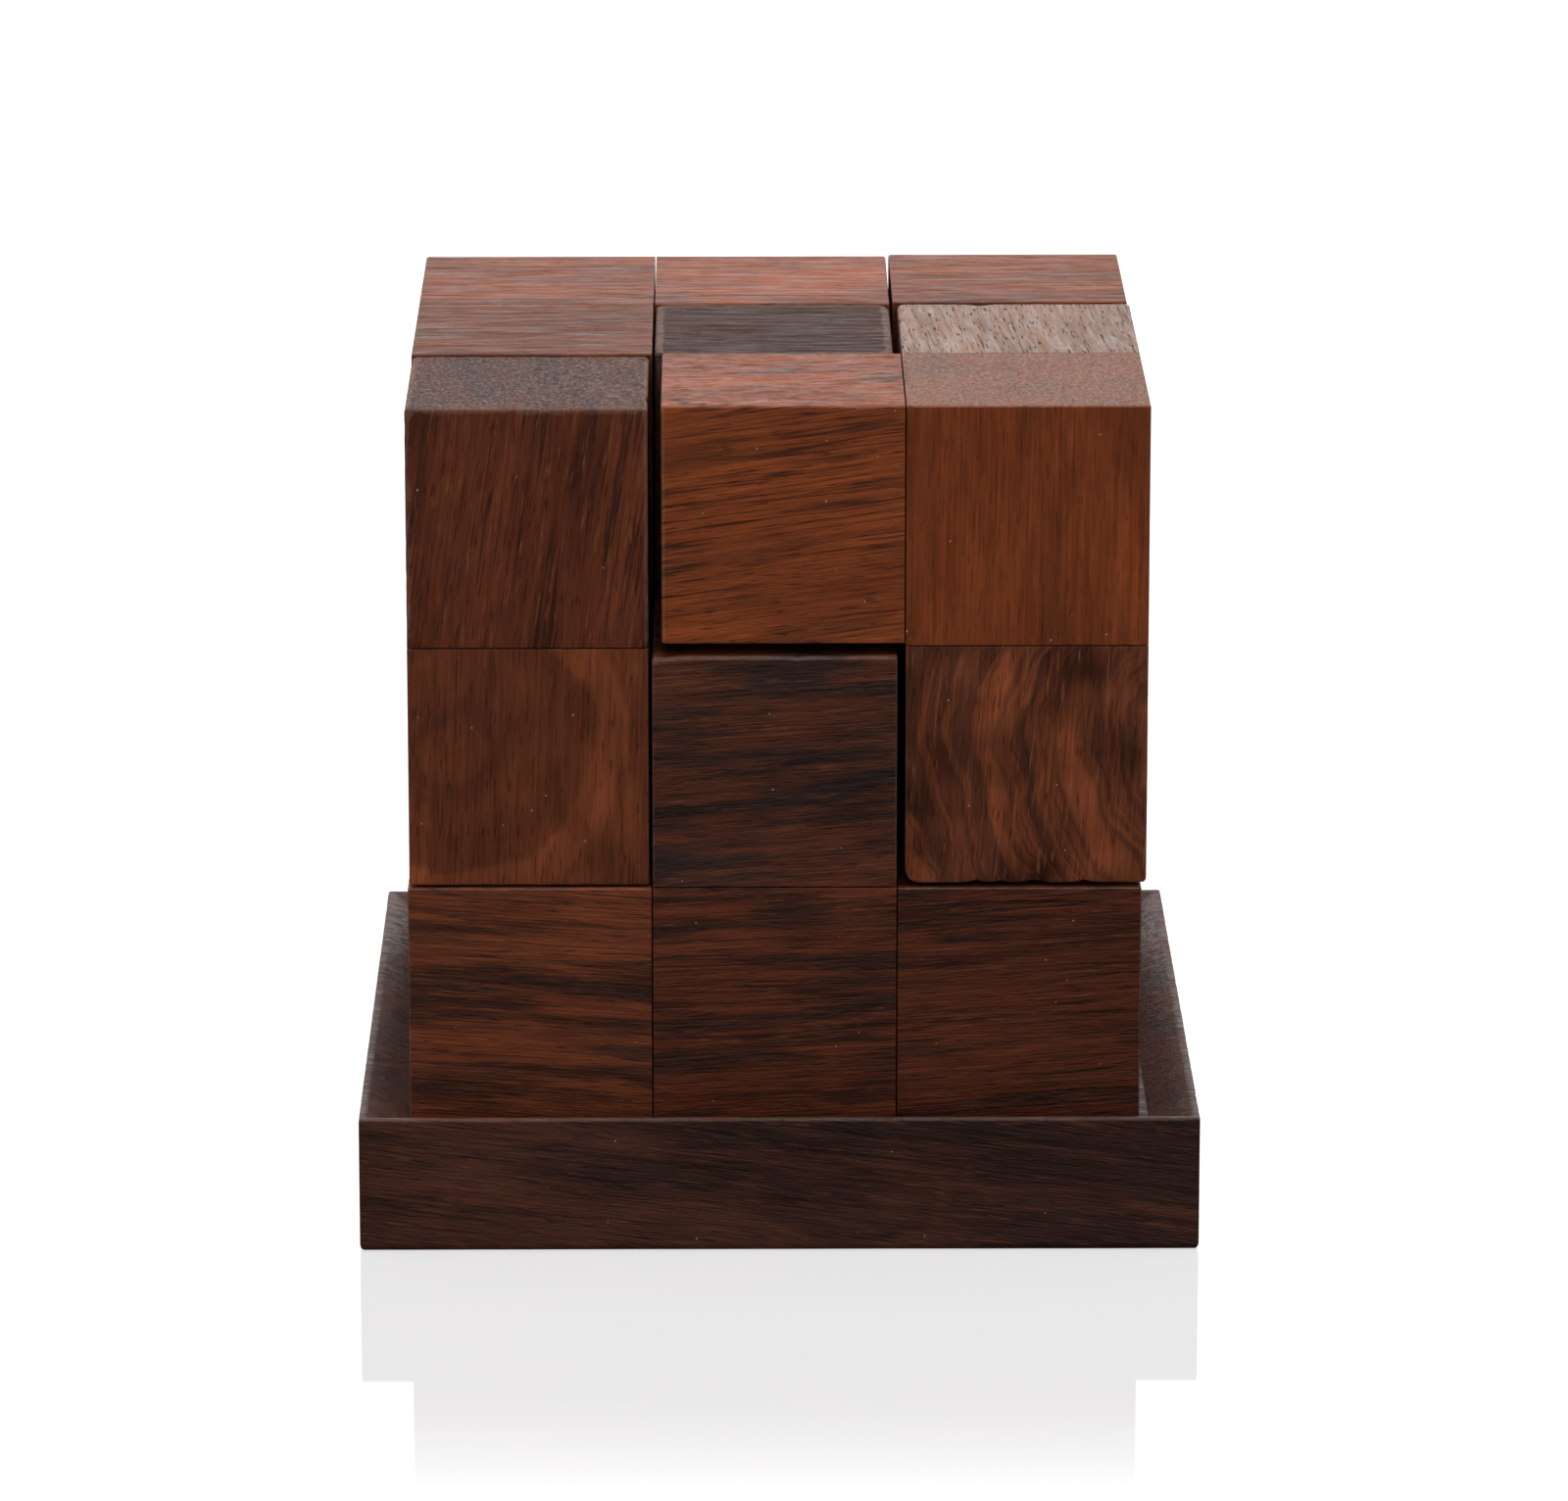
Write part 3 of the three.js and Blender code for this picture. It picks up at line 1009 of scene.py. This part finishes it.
class PuzzleBlocks(bpy.types.PropertyGroup):
    """Shape of the unit blocks"""
    open_edge: length_property("Open edge", "Radius of an edge that hands can reach", 0.25 * MM)
    glued_edge: length_property("Glued edge", "Radius of an edge beside a glue line", 0.08 * MM)
    glue_reach: length_property("Glue reach", "Widest gap that still counts as glued", 0.8 * MM)
    dent_depth: length_property("Dents", "Depth of the dents in open edges", 0.06 * MM)
    wave_depth: length_property("Waves", "How far the faces undulate", 0.03 * MM)
    edge_segments: count_property("Edge segments", "Steps round an edge", 3, 1)
    softened_segments: count_property("Softened segments", "Steps round a softened edge", 6, 1)
    cuts: count_property("Cuts", "Cuts across each face", 26, 0)
    longest_left: length_property("Longest left", "Edges longer than this are cut up", 5 * MM)


class PuzzleTray(bpy.types.PropertyGroup):
    """Shape of the tray"""
    rim_land: length_property("Rim", "Flat width round the top", 0.7 * MM)
    slope_width: length_property("Slope width", "Width of the slope down to the recess", 4.3 * MM)
    recess_depth: length_property("Recess depth", "Depth of the recess", 1.9 * MM)
    rim_round: length_property("Rim rounding", "Radius along the rim and corners", 0.25 * MM)
    foot_chamfer: length_property("Foot chamfer", "Rounding under the tray", 0.65 * MM)
    crease: length_property("Crease", "Radius in the corners of the recess", 0.1 * MM)
    edge_segments: count_property("Edge segments", "Steps round an edge", 3, 1)
    cuts: count_property("Cuts", "Cuts across the tray", 70, 0)
    longest_left: length_property("Longest left", "Edges longer than this are cut up", 9 * MM)


class PuzzleStage(bpy.types.PropertyGroup):
    """Floor, light and camera"""
    floor_reach: length_property("Floor reach", "From the middle of the floor to its edge", 3.0)
    floor_colour: colour_property("Floor", "Colour of the floor", (0.25, 0.25, 0.25))
    floor_glow: number_property("Floor glow", "Light from under the floor", 1.0)
    mirror: FloatProperty(
        name="Mirror", description="How strongly the floor mirrors the tray", default=0.34,
        min=0.0, max=1.0, subtype="FACTOR")
    mirror_full: length_property(
        "Mirror full", "Distance from the middle to which the mirroring is full", 0.085
    )
    mirror_gone: length_property(
        "Mirror gone", "Distance from the middle where the mirroring ends", 0.15
    )
    room_light: number_property("Room light", "Soft light from all round", 0.33)
    bounce_light: number_property("Bounce light", "Light that comes back from below", 0.45)
    sheen_light: number_property("Sheen light", "Brightness of the room in the wood's gloss", 1.65)
    overhead_power: FloatProperty(
        name="Overhead", description="Power of the overhead softbox", default=6.5, unit="POWER")
    front_power: FloatProperty(
        name="Front", description="Power of the front softbox", default=2.2, unit="POWER")
    side_power: FloatProperty(
        name="Sides", description="Power of the side and back softboxes", default=1.7, unit="POWER")
    lens: FloatProperty(
        name="Lens", description="Focal length in millimetres", default=203.1, unit="CAMERA")
    eye: FloatVectorProperty(
        name="Camera place", description="Where the camera stands", default=(-0.0057, -0.9062, 0.2822),
        subtype="TRANSLATION", unit="LENGTH")
    look_down: FloatProperty(
        name="Look down", description="Camera pitch", default=math.radians(14.864), subtype="ANGLE")
    look_right: FloatProperty(
        name="Look right", description="Camera turn", default=math.radians(0.409), subtype="ANGLE")


class PuzzleSettings(bpy.types.PropertyGroup):
    """Everything that can be set"""
    woods: PointerProperty(type=PuzzleWoods)
    blocks: PointerProperty(type=PuzzleBlocks)
    tray: PointerProperty(type=PuzzleTray)
    stage: PointerProperty(type=PuzzleStage)


def dress_and_place(piece, node, body):
    """Gives a finished shape its wood and its CAD body, and hides the CAD part."""
    number = sorted(frame["nodes"]).index(node)
    piece.data.materials.clear()
    piece.data.materials.append(wood_material(node, number))
    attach(piece, body)
    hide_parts(node)
    SLOT_OF_WOOD[board_of(node)["wood"]]


def build_piece(body):
    """Builds all blocks of one glued piece."""
    settings = bpy.context.scene.puzzle.blocks
    nodes = frame["record"]["behaviour"]["bodies"][body]
    for node in nodes:
        dress_and_place(make_block(node, nodes, settings), node, body)


class BuildTray(bpy.types.Operator):
    """Build the bevelled tray"""
    bl_idname = "puzzle.build_tray"
    bl_label = "Tray"

    def execute(self, context):
        dress_and_place(make_tray("tray", context.scene.puzzle.tray), "tray", "tray")
        return {"FINISHED"}


class PieceBuilder:
    """What the builders of the glued pieces share."""
    piece = ""

    def execute(self, context):
        build_piece(self.piece)
        return {"FINISHED"}


class BuildLowerTwist(PieceBuilder, bpy.types.Operator):
    """Build the four-block piece hidden at the bottom left"""
    bl_idname = "puzzle.build_lower_twist"
    bl_label = "Lower twist"
    piece = "lower_twist"


class BuildTee(PieceBuilder, bpy.types.Operator):
    """Build the four-block piece along the bottom front"""
    bl_idname = "puzzle.build_tee"
    bl_label = "Tee"
    piece = "tee"


class BuildEll(PieceBuilder, bpy.types.Operator):
    """Build the four-block piece up the back right corner"""
    bl_idname = "puzzle.build_ell"
    bl_label = "Ell"
    piece = "ell"


class BuildZigzag(PieceBuilder, bpy.types.Operator):
    """Build the four-block piece that steps down through the middle"""
    bl_idname = "puzzle.build_zigzag"
    bl_label = "Zigzag"
    piece = "zigzag"


class BuildShortCorner(PieceBuilder, bpy.types.Operator):
    """Build the three-block piece at the front left"""
    bl_idname = "puzzle.build_short_corner"
    bl_label = "Short corner"
    piece = "short_corner"


class BuildUpperTwist(PieceBuilder, bpy.types.Operator):
    """Build the four-block piece at the top left back"""
    bl_idname = "puzzle.build_upper_twist"
    bl_label = "Upper twist"
    piece = "upper_twist"


class BuildTripod(PieceBuilder, bpy.types.Operator):
    """Build the four-block piece at the top right front"""
    bl_idname = "puzzle.build_tripod"
    bl_label = "Tripod"
    piece = "tripod"


class BuildStage(bpy.types.Operator):
    """Set up the floor, the light and the camera"""
    bl_idname = "puzzle.build_stage"
    bl_label = "Stage"

    def execute(self, context):
        stage = context.scene.puzzle.stage
        context.scene.view_settings.view_transform = "Standard"
        make_world(stage)
        make_lights(stage)
        make_floor(stage)
        make_camera(stage)
        return {"FINISHED"}


BUILDERS = (BuildStage, BuildTray, BuildLowerTwist, BuildTee, BuildEll, BuildZigzag, BuildShortCorner,
            BuildUpperTwist, BuildTripod)


class PuzzlePanel(bpy.types.Panel):
    """Lists the builders and their settings"""
    bl_idname = "VIEW3D_PT_puzzle"
    bl_label = "Cube puzzle"
    bl_space_type = "VIEW_3D"
    bl_region_type = "UI"
    bl_category = "Puzzle"

    def draw(self, context):
        for builder in BUILDERS:
            self.layout.operator(builder.bl_idname)
        for group in ("woods", "blocks", "tray", "stage"):
            box = self.layout.box()
            settings = getattr(context.scene.puzzle, group)
            for key in settings.bl_rna.properties.keys():
                if key not in ("rna_type", "name"):
                    box.prop(settings, key)


CLASSES = (PuzzleWoods, PuzzleBlocks, PuzzleTray, PuzzleStage, PuzzleSettings, *BUILDERS, PuzzlePanel)


def register():
    """Adds the settings, the builders and the panel to Blender."""
    for each in CLASSES:
        bpy.utils.register_class(each)
    bpy.types.Scene.puzzle = PointerProperty(type=PuzzleSettings)


def unregister():
    """Takes them away again."""
    del bpy.types.Scene.puzzle
    for each in reversed(CLASSES):
        bpy.utils.unregister_class(each)


def main():
    """Builds the stage and every piece."""
    register()
    clouds("edge_dents", size=1.1 * MM, contrast=2.5, brightness=0.5)
    clouds("face_waves", size=9.0 * MM, contrast=1.0, brightness=1.0)
    grain_group()
    for builder in BUILDERS:
        area, name = builder.bl_idname.split(".")
        getattr(getattr(bpy.ops, area), name)()


if __name__ == "__main__":
    main()
